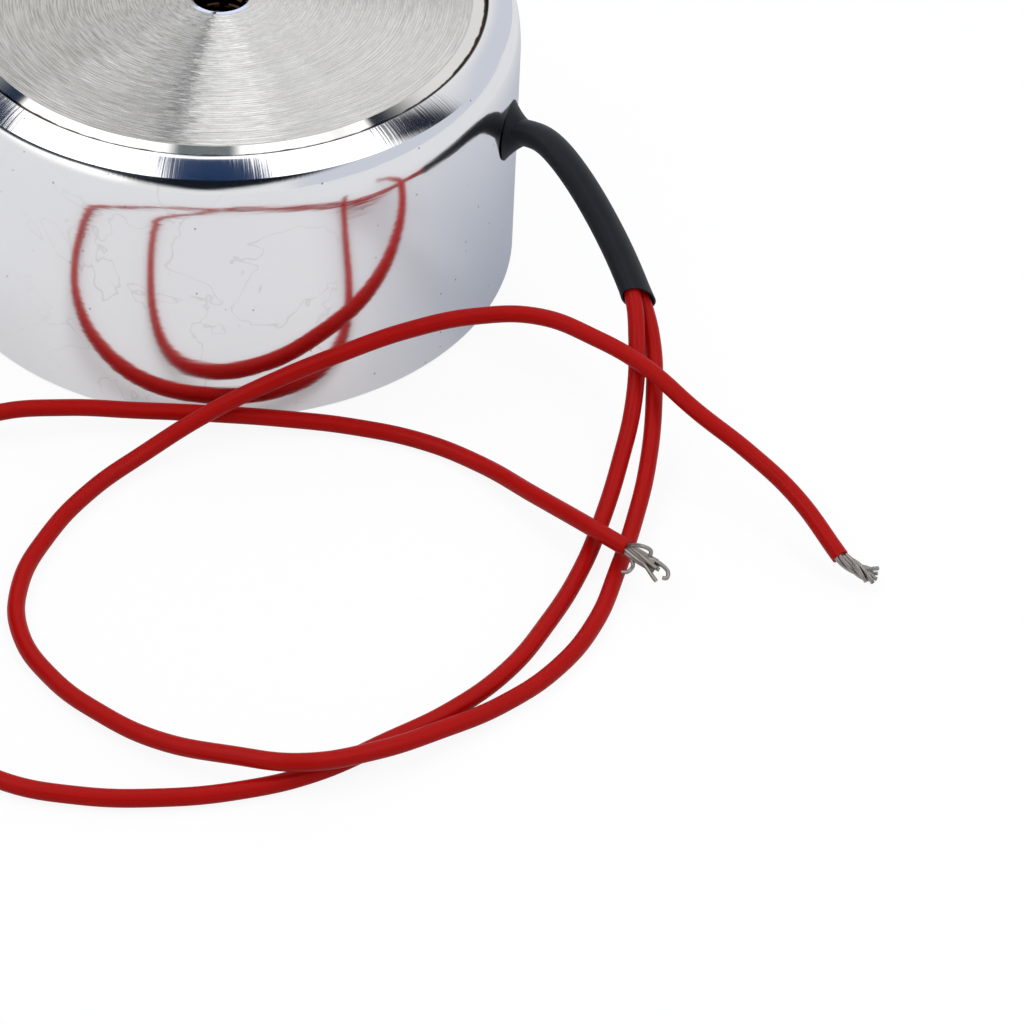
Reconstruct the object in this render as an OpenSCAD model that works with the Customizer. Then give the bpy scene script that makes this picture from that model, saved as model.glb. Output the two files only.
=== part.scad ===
// Holding electromagnet: a plated steel pot with a turned back plate and centre pole, a potted coil
// and two insulated leads. It stands on its working face, with the tapped mounting hole on top.

/* [Pot] */
// Outside diameter of the pot
body_d = 50; // [46:0.5:60]
// Height of the pot
body_h = 25; // [22:0.5:34]
// Thickness of the shell round the coil, which is also the outer pole
shell_wall = 3.5; // [3.2:0.1:5]
// Width of the rim round the back plate
rim_w = 2.95; // [2.4:0.05:3.1]
// Radius of the gentle curve that leads from the wall into the shoulder
ease_r = 13; // [6:0.5:20]
// Angle that the gentle curve turns through
ease_angle = 9; // [4:0.5:12]
// Radius of the shoulder between that curve and the rim
shoulder_r = 3.8; // [2:0.1:6]
// Angle that the shoulder has turned through where it meets the rim in a crease
shoulder_angle = 35.5; // [25:0.5:45]
// Depth of that crease below the top
crease_drop = 0.85; // [0.5:0.05:1.5]
// Radius of the rim's crown
crown_r = 6; // [3:0.1:20]
// Chamfer on the bottom edges
edge_chamfer = 0.3; // [0.1:0.05:0.8]

/* [Back plate and pole] */
// Thickness of the back plate
plate_t = 6; // [4:0.5:9]
// Radial clearance of the back plate in the shell
plate_fit = 0.05; // [0.02:0.01:0.15]
// Width of the bevel round the back plate
bevel_w = 1.1; // [0.3:0.1:2]
// Drop of that bevel at the seam
bevel_h = 0.25; // [0.1:0.05:0.8]
// Diameter of the centre pole
pole_d = 21; // [16:0.5:24]

/* [Tapped hole] */
// Diameter of the wall of the tapped hole
tap_d = 4.2; // [3:0.1:7]
// Diameter of the shallow countersink at its mouth
tap_mouth_d = 6; // [5:0.1:10]
// Depth of that countersink
tap_mouth_h = 0.2; // [0.1:0.05:1]
// Depth of the hole to the end of its straight wall
tap_depth = 12; // [8:0.5:16]
// Angle of the drill point at the bottom
drill_angle = 118; // [90:1:140]

/* [Coil] */
// Wall of the bobbin's tube
bobbin_wall = 0.8; // [0.5:0.1:1.5]
// Thickness of the bobbin's flanges
flange_t = 1; // [0.6:0.1:1.5]
// Radial gap between the flanges and the shell
flange_gap = 0.6; // [0.3:0.1:1]
// Room between the taped coil and the shell, where the leads are joined
lead_space = 3.5; // [3:0.1:5]
// Thickness of the tape round the winding
tape_t = 0.25; // [0.1:0.05:0.5]
// Diameter of the winding's wire at its two ends
coil_wire_d = 0.4; // [0.2:0.05:0.6]
// Width of the slot in the lower flange for the winding's start
slot_w = 0.8; // [0.7:0.1:1.5]
// Clearance between the coil's pieces and what they sit on
coil_fit = 0.1; // [0.05:0.01:0.2]

/* [Potting] */
// Depth of the resin below the working face
potting_recess = 0.3; // [0.1:0.1:1]
// Thickness of the resin
potting_t = 2.7; // [1.5:0.1:4]
// Gap that keeps the resin's faces apart from the steel
potting_gap = 0.02; // [0.01:0.01:0.05]

/* [Leads] */
// Diameter of the insulated leads
lead_d = 1.4; // [1.2:0.1:1.8]
// Diameter of the stripped conductor at the inner ends
conductor_d = 0.76; // [0.5:0.02:0.9]
// Direction in which the leads leave the wall
exit_angle = -18.8; // [-40:0.1:40]
// Depth of the lead hole's centre below the back plate
exit_below_plate = 2.5; // [2.4:0.1:5]
// Wall of the sleeve shrunk over both leads
sleeve_wall = 0.15; // [0.1:0.05:0.3]
// Clearance between the leads, the sleeve and the bushing
sleeve_fit = 0.05; // [0.03:0.01:0.1]
// Wall of the bushing in the lead hole
bushing_wall = 0.25; // [0.15:0.05:0.5]
// Overhang of the bushing's flare where it lies on the pot's wall
flare_lip = 0.45; // [0.1:0.05:0.8]
// Length of that flare, which narrows to the sleeve
flare_l = 1; // [0.5:0.1:1]
// Widening of the sleeve at its open mouth
mouth_flare = 0.08; // [0:0.01:0.15]
// Slant at which that mouth is cut
mouth_slant = 20; // [0:1:25]
// Number of strands in a lead
strand_count = 7; // [5:1:7]
// Diameter of one strand
strand_d = 0.25; // [0.15:0.01:0.26]
// Length of the bare strands
strand_l = 4.2; // [2:0.1:6]
// Angle that the strands twist through along that length
strand_twist = 110; // [0:5:150]

/* [Splices] */
// Outside diameter of the sleeve over a soldered joint
splice_d = 2.2; // [1.8:0.1:2.4]
// Wall of that sleeve
splice_wall = 0.3; // [0.2:0.05:0.4]
// Distance between the two joints
splice_pitch = 3; // [2.6:0.1:5]
// Gap between the joint sleeves and the taped coil
splice_gap = 0.2; // [0.1:0.05:0.3]
// Distance that the sleeve reaches past the solder at each end
splice_over = 1.5; // [0.5:0.1:2]

/* [Hidden] */
$fn = 96;

// Pot: radii and levels
body_r = body_d / 2;
bore_r = body_r - shell_wall;
seam_r = body_r - rim_w;
plate_r = seam_r - plate_fit;
pole_r = pole_d / 2;
seat_z = body_h - plate_t;
ease_in = ease_r * (1 - cos(ease_angle));
shoulder_in = shoulder_r * (cos(ease_angle) - cos(shoulder_angle));
crease = [body_r - ease_in - shoulder_in, body_h - crease_drop];
shoulder_centre = crease - shoulder_r * [cos(shoulder_angle), sin(shoulder_angle)];
ease_centre = shoulder_centre - (ease_r - shoulder_r) * [cos(ease_angle), sin(ease_angle)];
arc_steps = 8;

// Coil: radii and levels
potting_top = potting_recess + potting_t;
tube_r = pole_r + coil_fit + bobbin_wall;
flange_r = bore_r - flange_gap;
tape_r = bore_r - lead_space;
bobbin_low = potting_top + coil_fit;
bobbin_high = seat_z - coil_fit;
coil_low = bobbin_low + flange_t + coil_fit;
coil_high = bobbin_high - flange_t - coil_fit;

// Lead exit: the two leads lie side by side across the sleeve
lead_r = lead_d / 2;
pair_half = lead_r + sleeve_fit / 2;
sleeve_in_r = lead_r + sleeve_fit;
sleeve_out_r = sleeve_in_r + sleeve_wall;
bushing_in_r = pair_half + sleeve_out_r + sleeve_fit;
bushing_out_r = bushing_in_r + bushing_wall;
lead_hole_r = bushing_out_r + sleeve_fit;
exit_z = seat_z - exit_below_plate;
outward = [cos(exit_angle), sin(exit_angle), 0];
exit_point = body_r * outward + [0, 0, exit_z];
lead_inner_r = flange_r + coil_fit;
sleeve_inner_r = bore_r - 2 * coil_fit;
cord_sides = 8;
sleeve_step = 30;

// Splices: places beside the exit
splice_r = tape_r + splice_gap + splice_d / 2;
splice_turn = asin(splice_pitch / 2 / splice_r);
splice_low = bobbin_low + flange_t + splice_over;
splice_high = exit_z - lead_hole_r - splice_over / 2;
solder_low = splice_low + splice_over;
solder_high = splice_high - splice_over;
solder_r = splice_d / 2 - splice_wall - coil_fit;
coil_wire_r = coil_wire_d / 2;
finish_z = bobbin_low + flange_t + 2 * coil_fit + coil_wire_d;
start_z = bobbin_low + flange_t / 2;
bend = 2 * coil_wire_d;

// Route of the sleeve outside the wall, as steps from the exit point
sleeve_steps = [
  [2.6, -1.9, 0], [4.4, -4.2, -0.7], [6.2, -6.7, -2.1],
  [7.7, -9.3, -3.7], [8.8, -11.5, -5.2], [9.6, -13.7, -6.5]
];
// Direction from lead a to lead b, before it is squared to the sleeve
pair_direction = [0.5, 0.62, -0.52];
// Length of the straight stretch out of the bushing
straight_out = 1.3;
// Gap that keeps a bare conductor's end apart from its lead's end face
face_gap = 0.03;
// Drift of each lead's strand tips away from the lead's own direction
strand_cast_a = [-0.5, 1, -0.55];
strand_cast_b = [0.8, 1.7, 0.4];

// Free route of each lead from the sleeve's mouth to its stripped end
route_a = [
  [33, -25.9, 8.5], [32.5, -30.2, 5.7], [31, -35, 3.2], [29.3, -39.5, 1.5], [27.2, -44.5, 0.75],
  [24, -50.5, 0.75], [20.5, -55.5, 0.75], [16, -59.5, 0.75], [11, -62.5, 0.75], [5.5, -65.5, 0.75],
  [0, -67, 0.75], [-6, -67.5, 0.75], [-12, -67, 0.75], [-17.5, -65.3, 0.75], [-21.8, -62, 0.75],
  [-25.2, -57, 0.75], [-28.2, -51, 0.75], [-30.5, -45, 0.75], [-31.2, -39, 0.75], [-29.3, -33.1, 0.9],
  [-24.8, -28.5, 1.7], [-19, -26.2, 2.4], [-13.5, -25.6, 2.3], [-7.5, -25.7, 1.9], [-1.5, -26.1, 1.7],
  [4.5, -26.5, 1.3], [10, -27.2, 0.9], [15.5, -29, 0.75], [20, -32.2, 1], [24, -37, 1.9],
  [28, -42, 2.95], [30.7, -44.9, 3.2]
];
route_b = [
  [34.4, -25, 7.7], [34.2, -29.8, 5.4], [33.3, -35, 3.1], [31.8, -40, 1.6], [30, -45, 1],
  [27.8, -50.4, 0.75], [24.5, -55.2, 0.75], [20, -59.1, 0.9], [15, -62.2, 1.5], [10, -64.7, 2.1],
  [4.5, -66.2, 2.7], [-0.5, -64.8, 2.2], [-6, -62.3, 1.4], [-10.4, -58.8, 0.9], [-14, -54.9, 0.75],
  [-16.5, -50, 0.75], [-16.7, -44.8, 0.75], [-14.7, -39.2, 0.75], [-11.3, -34.1, 0.9], [-7, -30.3, 1.4],
  [-2, -27.6, 3], [3.5, -26, 5], [9, -25.1, 7], [14.5, -24.1, 8.5], [20, -23.7, 9.5],
  [25.2, -24.3, 9.8], [29.5, -26.5, 9.3], [33.2, -29.1, 8.5], [37.3, -33, 6.8], [41.2, -36.2, 5.2],
  [44.5, -39.8, 3.8], [47.6, -45.2, 2]
];

function unit(v) = v / norm(v);
function tangent(p, i) = unit(p[min(i + 1, len(p) - 1)] - p[max(i - 1, 0)]);
function squared(v, t) = unit(v - (v * t) * t);
// Cross direction at each point of a path, carried along it without twist
function next_cross(p, i, n) = i < len(p) ? squared(n, tangent(p, i)) : n;
function carried(p, first) = [
  for (i = 0, n = squared(first, tangent(p, 0)); i < len(p); i = i + 1, n = next_cross(p, i, n)) n
];
function ring(centre, t, n, outline) = [for (q = outline) centre + q.x * n + q.y * cross(t, n)];
function polar(r, a) = r * [cos(a), sin(a)];
function round_outline(r) = [for (j = [0 : cord_sides - 1]) polar(r, j * 360 / cord_sides)];
// Two half circles joined by straight sides; their centres lie a share of the way out to the leads'
function pair_outline(r, share = 1) = [
  for (s = [1, -1], a = [-90 : sleeve_step : 90]) s * ([share * pair_half, 0] + polar(r, a))
];
function swept(p, r, up) = let (n = carried(p, up)) [
  for (i = [0 : len(p) - 1]) ring(p[i], tangent(p, i), n[i], round_outline(r))
];
function arc(centre, r, a0, a1) = [
  for (i = [0 : arc_steps]) centre + polar(r, a0 + (a1 - a0) * i / arc_steps)
];
// Centre of an arc of radius r that bulges to the right of the line from p to q
function arc_centre(p, q, r) = let (half = (q - p) / 2)
  p + half + sqrt(r * r - half * half) * unit([-half.y, half.x]);
function angle_of(v) = atan2(v.y, v.x);

// Paths of the sleeve and of the two leads through it
sleeve_path = concat(
  [sleeve_inner_r * outward + [0, 0, exit_z], exit_point + straight_out * outward],
  [for (s = sleeve_steps) exit_point + s]
);
sleeve_cross = [for (i = [0 : len(sleeve_path) - 1]) squared(pair_direction, tangent(sleeve_path, i))];
function lead_path(side, route) = concat(
  [lead_inner_r * outward + [0, 0, exit_z] + side * pair_half * sleeve_cross[0]],
  [for (i = [1 : len(sleeve_path) - 1]) sleeve_path[i] + side * pair_half * sleeve_cross[i]],
  route
);
path_a = lead_path(-1, route_a);
path_b = lead_path(1, route_b);

// Closed skin over a row of rings; a closed row joins its last ring to its first, an open one has end caps
module skin(rings, closed = false) {
  count = len(rings);
  sides = len(rings[0]);
  points = [for (r = rings, p = r) p];
  walls = [
    for (i = [0 : count - (closed ? 1 : 2)], j = [0 : sides - 1])
      let (k = (i + 1) % count, m = (j + 1) % sides)
        [i * sides + j, k * sides + j, k * sides + m, i * sides + m]
  ];
  first_cap = [for (j = [0 : sides - 1]) j];
  last_cap = [for (j = [sides - 1 : -1 : 0]) (count - 1) * sides + j];
  caps = closed ? [] : [first_cap, last_cap];
  polyhedron(points, concat(walls, caps), convexity = 10);
}

// A point beside the exit: out from the axis, across to the left and up
function beside_exit(r, turn, z) = [r * cos(exit_angle + turn), r * sin(exit_angle + turn), z];

module shell_profile() {
  seam_top = [seam_r, body_h];
  shoulder = arc(shoulder_centre, shoulder_r, ease_angle, shoulder_angle);
  crown_centre = arc_centre(crease, seam_top, crown_r);
  crown = arc(crown_centre, crown_r, angle_of(crease - crown_centre), angle_of(seam_top - crown_centre));
  polygon(concat(
    [[bore_r, edge_chamfer], [bore_r + edge_chamfer, 0], [body_r - edge_chamfer, 0], [body_r, edge_chamfer]],
    arc(ease_centre, ease_r, 0, ease_angle),
    [for (i = [1 : arc_steps]) shoulder[i]],
    [for (i = [1 : arc_steps]) crown[i]],
    [[seam_r, seat_z], [bore_r, seat_z]]
  ));
}

module shell() {
  color("gainsboro")
    difference() {
      rotate_extrude() shell_profile();
      rotate([0, 0, exit_angle])
        translate([pole_r, 0, exit_z])
          rotate([0, 90, 0])
            cylinder(h = body_r, r = lead_hole_r);
    }
}

module yoke_core() {
  tap_r = tap_d / 2;
  mouth_r = tap_mouth_d / 2;
  point_h = tap_r / tan(drill_angle / 2);
  color("silver")
    rotate_extrude()
      polygon([
        [0, 0], [pole_r - edge_chamfer, 0], [pole_r, edge_chamfer], [pole_r, seat_z], [plate_r, seat_z],
        [plate_r, body_h - bevel_h], [plate_r - bevel_w, body_h], [mouth_r, body_h],
        [tap_r, body_h - tap_mouth_h], [tap_r, body_h - tap_depth], [0, body_h - tap_depth - point_h]
      ]);
}

module bobbin() {
  color("ivory")
    difference() {
      rotate_extrude()
        polygon([
          [pole_r + coil_fit, bobbin_low], [flange_r, bobbin_low], [flange_r, bobbin_low + flange_t],
          [tube_r, bobbin_low + flange_t], [tube_r, bobbin_high - flange_t],
          [flange_r, bobbin_high - flange_t], [flange_r, bobbin_high], [pole_r + coil_fit, bobbin_high]
        ]);
      rotate([0, 0, exit_angle + splice_turn])
        translate([tube_r, -slot_w / 2, bobbin_low - coil_fit])
          cube([body_r, slot_w, flange_t + 2 * coil_fit]);
    }
}

// A tube of revolution round the pot's axis
module sleeve_of_revolution(inner, outer, low, high) {
  rotate_extrude()
    translate([inner, low])
      square([outer - inner, high - low]);
}

module coil_winding() {
  color("peru")
    sleeve_of_revolution(tube_r + coil_fit / 2, tape_r - tape_t - coil_fit / 2, coil_low, coil_high);
}

module coil_tape() {
  color("goldenrod")
    difference() {
      sleeve_of_revolution(tape_r - tape_t, tape_r, coil_low, coil_high);
      rotate([0, 0, exit_angle - splice_turn])
        translate([pole_r, 0, finish_z])
          rotate([0, 90, 0])
            cylinder(h = body_r, r = coil_wire_r + coil_fit);
    }
}

// Wire that drops from a soldered joint, turns inwards at one level and may turn up at its end
module coil_wire(turn, level, inner_r, rise) {
  corner = splice_r - bend;
  path = concat(
    [
      beside_exit(splice_r, turn, solder_low), beside_exit(splice_r, turn, level + bend),
      beside_exit(splice_r - bend / 4, turn, level + bend / 4), beside_exit(corner, turn, level)
    ],
    rise == 0 ? [beside_exit(inner_r, turn, level)] : [
      beside_exit(inner_r + bend / 2, turn, level), beside_exit(inner_r + bend / 8, turn, level + rise / 3),
      beside_exit(inner_r, turn, level + rise)
    ]
  );
  color("chocolate") skin(swept(path, coil_wire_r, outward));
}

module coil_start() {
  coil_wire(splice_turn, start_z, tube_r + coil_fit + coil_wire_r, coil_low - start_z - coil_fit / 2);
}

module coil_finish() {
  coil_wire(-splice_turn, finish_z, tape_r - tape_t, 0);
}

module at_splice(side) {
  rotate([0, 0, exit_angle + side * splice_turn]) translate([splice_r, 0, 0]) children();
}

// Soldered joint: a short bar with tapered ends
module solder_joint(side) {
  color("lightgray")
    at_splice(side)
      rotate_extrude()
        polygon([
          [0, solder_low], [conductor_d / 2, solder_low], [solder_r, solder_low + solder_r],
          [solder_r, solder_high - solder_r], [conductor_d / 2, solder_high], [0, solder_high]
        ]);
}

module solder_joint_a() { solder_joint(-1); }
module solder_joint_b() { solder_joint(1); }

module splice_sleeve(side) {
  color("oldlace")
    at_splice(side)
      rotate_extrude()
        translate([splice_d / 2 - splice_wall, splice_low])
          square([splice_wall, splice_high - splice_low]);
}

module splice_sleeve_a() { splice_sleeve(-1); }
module splice_sleeve_b() { splice_sleeve(1); }

// Stripped conductor that turns down from the inner end of a lead to its soldered joint
module lead_tail(side, start) {
  foot = beside_exit(splice_r, side * splice_turn, solder_high);
  knee = beside_exit(splice_r, side * splice_turn, splice_high + splice_over / 3);
  first = start - face_gap * outward;
  inward = start - conductor_d * outward;
  middle = (inward + knee) / 2 + conductor_d * [0, 0, 0.5] - conductor_d / 4 * outward;
  color("lightgray") skin(swept([first, inward, middle, knee, foot], conductor_d / 2, [0, 0, 1]));
}

module lead_tail_a() { lead_tail(-1, path_a[0]); }
module lead_tail_b() { lead_tail(1, path_b[0]); }

module potting_resin() {
  color("dimgray")
    sleeve_of_revolution(pole_r + potting_gap, bore_r - potting_gap, potting_recess, potting_top);
}

// Bushing: nearly round in the lead hole, it flares on the wall and then narrows to the sleeve's section
module lead_grommet() {
  neck = shell_wall + coil_fit;
  share = 0.1;
  edge = flare_l / 10;
  bore = sleeve_out_r + sleeve_fit;
  neck_r = bushing_out_r - share * pair_half;
  lip_r = neck_r + flare_lip;
  end_r = bore + bushing_wall / 2;
  n = squared(pair_direction, outward);
  // Rings round the bushing: distance out of the wall, radius of its ends and share of the pair's spread
  outer = [
    [-neck, neck_r, share], [0, neck_r, share], [0, lip_r, share], [edge, lip_r, share], [flare_l, end_r, 1]
  ];
  inner = [[flare_l, bore, 1], [-neck, bore, 1]];
  color("black")
    skin([
      for (q = concat(outer, inner)) ring(exit_point + q[0] * outward, outward, n, pair_outline(q[1], q[2]))
    ], closed = true);
}

module lead_sleeve() {
  last = len(sleeve_path) - 1;
  function section(i, r) = let (t = tangent(sleeve_path, i), mouth = i == last ? 1 : 0)
    let (n = sleeve_cross[i] + mouth * tan(mouth_slant) * t)
      ring(sleeve_path[i], t, n, pair_outline(r + mouth * mouth_flare));
  outer = [for (i = [0 : last]) section(i, sleeve_out_r)];
  inner = [for (i = [last : -1 : 0]) section(i, sleeve_in_r)];
  color("darkslategray") skin(concat(outer, inner), closed = true);
}

module lead_a() { color("firebrick") skin(swept(path_a, lead_r, [0, 0, 1])); }
module lead_b() { color("firebrick") skin(swept(path_b, lead_r, [0, 0, 1])); }

// Bare strands that twist and fan out of the end of a lead, and drift aside by its cast at their tips
module strands(path, cast) {
  spread = 1;
  pack_r = 1.1 * strand_d;
  last = len(path) - 1;
  t = unit(path[last] - path[last - 1]);
  n = squared([0, 0, 1], t);
  // Place of strand k beside the middle one, at a share s of the full length
  function aside(k, s) = let (turn = 60 * k + s * strand_twist)
    k == 0 ? [0, 0, 0] : pack_r * (1 + spread * s * s) * (cos(turn) * n + sin(turn) * cross(t, n));
  color("lightgray")
    for (k = [0 : strand_count - 1]) {
      own = 0.9 + 0.1 * cos(150 * k);
      route = [
        for (u = [0 : 0.125 : 1]) let (s = u * own)
          path[last] + (face_gap + s * strand_l) * t + s * s * cast + aside(k, s)
      ];
      skin(swept(route, strand_d / 2, [0, 0, 1]));
    }
}

module strands_a() { strands(path_a, strand_cast_a); }
module strands_b() { strands(path_b, strand_cast_b); }

shell();
yoke_core();
bobbin();
coil_winding();
coil_tape();
coil_start();
coil_finish();
solder_joint_a();
solder_joint_b();
splice_sleeve_a();
splice_sleeve_b();
lead_tail_a();
lead_tail_b();
potting_resin();
lead_grommet();
lead_sleeve();
lead_a();
lead_b();
strands_a();
strands_b();
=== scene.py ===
# %% [markdown]
# # A holding electromagnet
# A round steel pot holds a coil. A turned plate with a tapped hole closes its back, and two red leads
# come out of the side wall through a black sleeve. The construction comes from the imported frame: this
# lesson dresses it with finished surfaces, and every place and size is in metres in the same frame.

# %% Load the frame
import math

import bpy
from mathutils import Matrix, Vector


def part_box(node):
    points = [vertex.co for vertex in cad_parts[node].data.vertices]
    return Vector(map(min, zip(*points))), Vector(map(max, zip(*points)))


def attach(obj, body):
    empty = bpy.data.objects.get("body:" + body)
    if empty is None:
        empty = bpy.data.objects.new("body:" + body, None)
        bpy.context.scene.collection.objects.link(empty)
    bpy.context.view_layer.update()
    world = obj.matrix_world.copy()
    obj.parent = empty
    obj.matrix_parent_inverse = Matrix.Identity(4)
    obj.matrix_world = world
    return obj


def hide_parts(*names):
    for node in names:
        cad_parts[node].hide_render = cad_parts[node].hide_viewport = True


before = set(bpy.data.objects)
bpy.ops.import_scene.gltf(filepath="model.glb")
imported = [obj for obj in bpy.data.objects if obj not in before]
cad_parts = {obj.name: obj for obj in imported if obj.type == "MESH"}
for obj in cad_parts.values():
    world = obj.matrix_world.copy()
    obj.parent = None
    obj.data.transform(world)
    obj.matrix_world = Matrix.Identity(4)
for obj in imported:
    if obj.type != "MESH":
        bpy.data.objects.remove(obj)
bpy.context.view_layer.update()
BODY = "root"
MM = 0.001

# %% [markdown]
# ## Camera
# The picture looks down on the magnet from its front, close and with a long lens. The lens and the
# camera's place were worked out from the round edges of the pot, which show as ellipses. The camera
# turns in three steps, as a tripod head does: tilt, pan and a little roll.

# %% Camera
CAMERA_PLACE = Vector((0, -244.14, 193.16)) * MM
CAMERA_TILT_DOWN = 42.8252
CAMERA_PAN_RIGHT = 6.1452
CAMERA_ROLL = 2.7707
LENS_MM = 124.31

camera_data = bpy.data.cameras.new("photo_camera")
camera_data.lens = LENS_MM
camera_data.sensor_width = 36
camera_data.clip_start = 0.01
camera = bpy.data.objects.new("photo_camera", camera_data)
bpy.context.scene.collection.objects.link(camera)
pan = Matrix.Rotation(math.radians(-CAMERA_PAN_RIGHT), 4, "Z")
tilt = Matrix.Rotation(math.radians(90 - CAMERA_TILT_DOWN), 4, "X")
roll = Matrix.Rotation(math.radians(CAMERA_ROLL), 4, "Z")
camera.matrix_world = Matrix.Translation(CAMERA_PLACE) @ pan @ tilt @ roll
bpy.context.scene.camera = camera
print("camera at", [round(x, 3) for x in camera.location])

# %% [markdown]
# ## The two leads
# Each lead is one length of stranded wire in soft PVC. Side by side they pass through the sleeve, and
# then each runs down to the table, round in a loose loop and back past the pot. A curve with a round
# bevel is the natural way to make a cord: its points are the route, and its bevel is the insulation.

# %% Routes
EXIT_ANGLE = math.radians(-18.8)
EXIT_HEIGHT = 16.5 * MM
POT_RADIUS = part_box("shell")[1].x
POT_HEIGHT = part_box("shell")[1].z
LEAD_DIAMETER = 1.4 * MM
LEAD_START_RADIUS = 21 * MM
SLEEVE_START_RADIUS = 21.3 * MM
PAIR_HALF = 0.725 * MM
OUTWARD = Vector((math.cos(EXIT_ANGLE), math.sin(EXIT_ANGLE), 0))
LIFT = Vector((0, 0, EXIT_HEIGHT))
EXIT_POINT = POT_RADIUS * OUTWARD + LIFT
PAIR_DIRECTION = Vector((0.5, 0.62, -0.52))
STRAIGHT_OUT = 1.3 * MM
RINGS = 44
SLEEVE_EASING = 16
LEAD_RINGS = [7, 13, 19, 25, 31, 38, 44]
SLEEVE_STEPS = [
    (2.6, -1.9, 0.85), (4.4, -4.2, -0.1), (6.2, -6.7, -1.85),
    (7.7, -9.3, -3.7), (8.8, -11.5, -5.2), (9.6, -13.7, -6.5),
]
ROUTE_A = [
    (33, -25.9, 8.5), (32.5, -30.2, 5.7), (31, -35, 3.2), (29.3, -39.5, 1.5), (27.2, -44.5, 0.75),
    (24, -50.5, 0.75), (20.5, -55.5, 0.75), (16, -59.5, 0.75), (11, -62.5, 0.75), (5.5, -65.5, 0.75),
    (0, -67, 0.75), (-6, -67.5, 0.75), (-12, -67, 0.75), (-17.5, -65.3, 0.75), (-21.8, -62, 0.75),
    (-25.2, -57, 0.75), (-28.2, -51, 0.75), (-30.5, -45, 0.75), (-31.2, -39, 0.75), (-29.3, -33.1, 0.9),
    (-24.8, -28.5, 1.7), (-19, -26.2, 2.4), (-13.5, -25.6, 2.3), (-7.5, -25.7, 1.9), (-1.5, -26.1, 1.7),
    (4.5, -26.5, 1.3), (10, -27.2, 0.9), (15.5, -29, 0.75), (20, -32.2, 1), (24, -37, 1.9),
    (28, -42, 2.95), (30.7, -44.9, 3.2),
]
ROUTE_B = [
    (34.4, -25, 7.7), (34.2, -29.8, 5.4), (33.3, -35, 3.1), (31.8, -40, 1.6), (30, -45, 1),
    (27.8, -50.4, 0.75), (24.5, -55.2, 0.75), (20, -59.1, 0.9), (15, -62.2, 1.5), (10, -64.7, 2.1),
    (4.5, -66.2, 2.7), (-0.5, -64.8, 2.2), (-6, -62.3, 1.4), (-10.4, -58.8, 0.9), (-14, -54.9, 0.75),
    (-16.5, -50, 0.75), (-16.7, -44.8, 0.75), (-14.7, -39.2, 0.75), (-11.3, -34.1, 0.9), (-7, -30.3, 1.4),
    (-2, -27.6, 3), (3.5, -26, 5), (9, -25.1, 7), (14.5, -24.1, 8.5), (20, -23.7, 9.5),
    (25.2, -24.3, 9.8), (29.5, -26.5, 9.3), (33.2, -29.1, 8.5), (37.3, -33, 6.8), (41.2, -36.2, 5.2),
    (44.5, -39.8, 3.8), (47.6, -45.2, 2),
]


def tangent(points, i):
    """Direction of a path at one of its points."""
    return (points[min(i + 1, len(points) - 1)] - points[max(i - 1, 0)]).normalized()


def squared(direction, along):
    """The part of a direction that stands square to a path."""
    return (direction - direction.dot(along) * along).normalized()


def smooth_path(points, count):
    """Evenly numbered points on a smooth curve through the given ones."""
    ends = [2 * points[0] - points[1], *points, 2 * points[-1] - points[-2]]
    found = []
    for i in range(count + 1):
        place = i / count * (len(points) - 1)
        k = min(int(place), len(points) - 2)
        t = place - k
        a, b, c, d = ends[k:k + 4]
        square = (2 * a - 5 * b + 4 * c - d) * t ** 2
        cube = (3 * b - a - 3 * c + d) * t ** 3
        found.append(0.5 * (2 * b + (c - a) * t + square + cube))
    return found


sleeve_path = [SLEEVE_START_RADIUS * OUTWARD + LIFT, EXIT_POINT + STRAIGHT_OUT * OUTWARD]
sleeve_path += [EXIT_POINT + Vector(step) * MM for step in SLEEVE_STEPS]
sleeve_line = smooth_path(sleeve_path, RINGS)
for _ in range(SLEEVE_EASING):
    inner_points = [(sleeve_line[i - 1] + sleeve_line[i + 1]) / 2 for i in range(1, RINGS)]
    sleeve_line = [sleeve_line[0], *inner_points, sleeve_line[-1]]


def lead_points(side, route):
    """A lead's points: from inside the pot, through the sleeve and along its free route."""
    inside = LEAD_START_RADIUS * OUTWARD + LIFT + side * PAIR_HALF * squared(PAIR_DIRECTION, OUTWARD)
    in_sleeve = []
    for i in LEAD_RINGS:
        across = squared(PAIR_DIRECTION, tangent(sleeve_line, i))
        in_sleeve.append(sleeve_line[i] + side * PAIR_HALF * across)
    return [inside, *in_sleeve, *[Vector(p) * MM for p in route]]


lead_paths = {"a": lead_points(-1, ROUTE_A), "b": lead_points(1, ROUTE_B)}
print("route points:", {name: len(points) for name, points in lead_paths.items()})

# %% [markdown]
# ## Cords from curves
# A lead is stranded wire in an even cover, so one Bezier curve with a round bevel makes it. A swept
# mesh would look the same, but a curve keeps its length, which the cord's facts need. Each point
# carries the lead's own radius, so the curve's box is true.

# %% Curves
def cord_curve(name, points, radius):
    """A round cord through the points, with flat ends."""
    data = bpy.data.curves.new(name, "CURVE")
    data.dimensions = "3D"
    data.resolution_u = 10
    data.bevel_depth = 1
    data.bevel_resolution = 6
    data.use_fill_caps = True
    line = data.splines.new("BEZIER")
    line.bezier_points.add(len(points) - 1)
    for knot, place in zip(line.bezier_points, points):
        knot.co = place
        knot.radius = radius
        knot.handle_left_type = "AUTO"
        knot.handle_right_type = "AUTO"
    cord = bpy.data.objects.new(name, data)
    bpy.context.scene.collection.objects.link(cord)
    return cord


leads = {}
for side, points in lead_paths.items():
    leads[side] = cord_curve(f"lead_{side}_pvc", points, LEAD_DIAMETER / 2)
for side, lead in leads.items():
    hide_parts(f"lead_{side}")
    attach(lead, BODY)

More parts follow.
